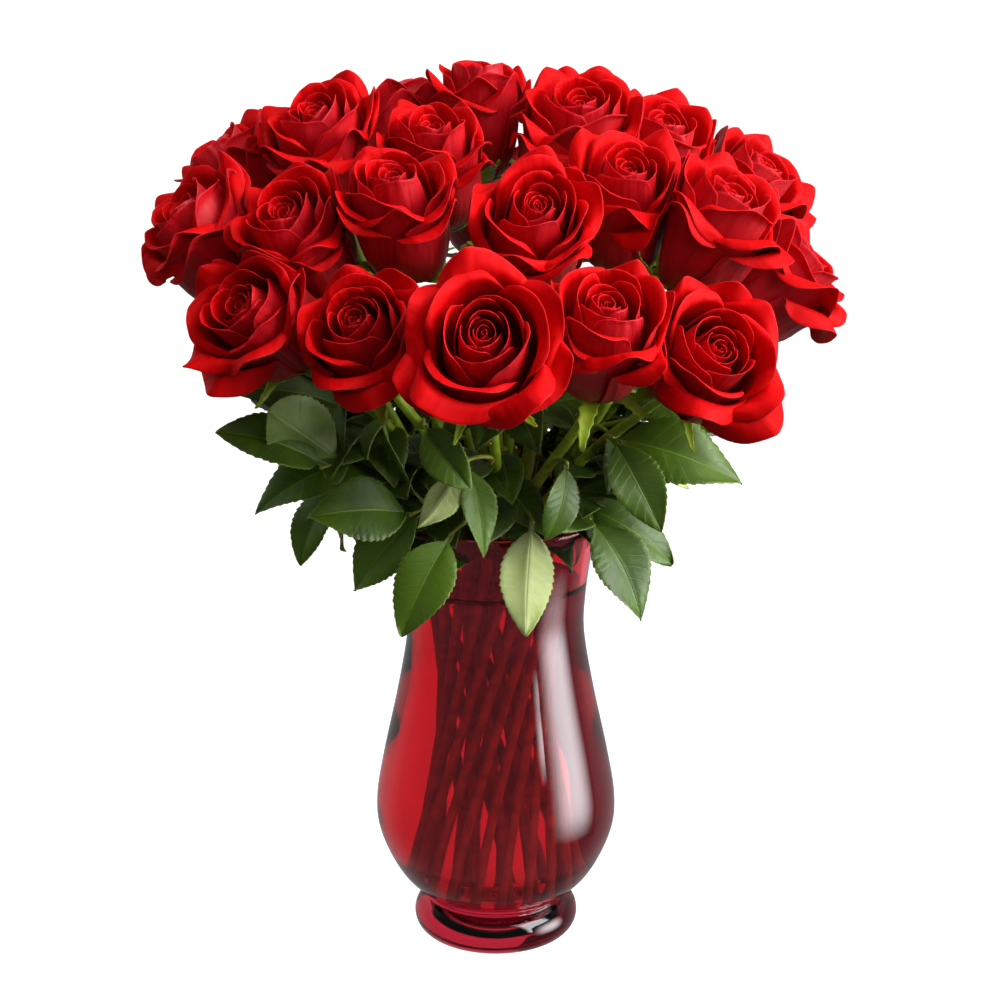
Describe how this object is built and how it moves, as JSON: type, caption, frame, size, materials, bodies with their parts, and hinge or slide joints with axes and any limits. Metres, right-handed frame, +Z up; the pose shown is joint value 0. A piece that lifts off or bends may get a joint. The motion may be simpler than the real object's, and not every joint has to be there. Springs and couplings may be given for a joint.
{
  "type": "roses in a vase",
  "caption": "A full domed bouquet of red roses with toothed green leaves, standing in water in a footed, waisted ruby glass vase with a flared rim.",
  "frame": {"origin": "centre of the flat disc under the foot of the vase", "axes": "+Z up along the axis of the vase, -Y towards the front of the bouquet, +X to its right"},
  "size_m": [0.3425, 0.3049, 0.456],
  "materials": {
    "ruby_glass": "polished clear deep red glass",
    "water": "clear still water",
    "petals": "velvety red rose petals with thin paler edges",
    "greenery": "dark green leaves with a soft gloss, yellow-green stems and sepals"
  },
  "bodies": {
    "root": {"vase": "ruby_glass", "water": "water", "bloom_01": "petals", "bloom_02": "petals", "bloom_03": "petals", "bloom_04": "petals", "bloom_05": "petals", "bloom_06": "petals", "bloom_07": "petals", "bloom_08": "petals", "bloom_09": "petals", "bloom_10": "petals", "bloom_11": "petals", "bloom_12": "petals", "bloom_13": "petals", "bloom_14": "petals", "bloom_15": "petals", "bloom_16": "petals", "bloom_17": "petals", "bloom_18": "petals", "bloom_19": "petals", "bloom_20": "petals", "bloom_21": "petals", "bloom_22": "petals", "bloom_23": "petals", "bloom_24": "petals", "leafy_stem_01": "greenery", "leafy_stem_02": "greenery", "leafy_stem_03": "greenery", "leafy_stem_04": "greenery", "leafy_stem_05": "greenery", "leafy_stem_06": "greenery", "leafy_stem_07": "greenery", "leafy_stem_08": "greenery", "leafy_stem_09": "greenery", "leafy_stem_10": "greenery", "leafy_stem_11": "greenery", "leafy_stem_12": "greenery", "leafy_stem_13": "greenery", "leafy_stem_14": "greenery", "leafy_stem_15": "greenery", "leafy_stem_16": "greenery", "leafy_stem_17": "greenery", "leafy_stem_18": "greenery", "leafy_stem_19": "greenery", "leafy_stem_20": "greenery", "leafy_stem_21": "greenery", "leafy_stem_22": "greenery", "leafy_stem_23": "greenery", "leafy_stem_24": "greenery"}
  },
  "joints": []
}
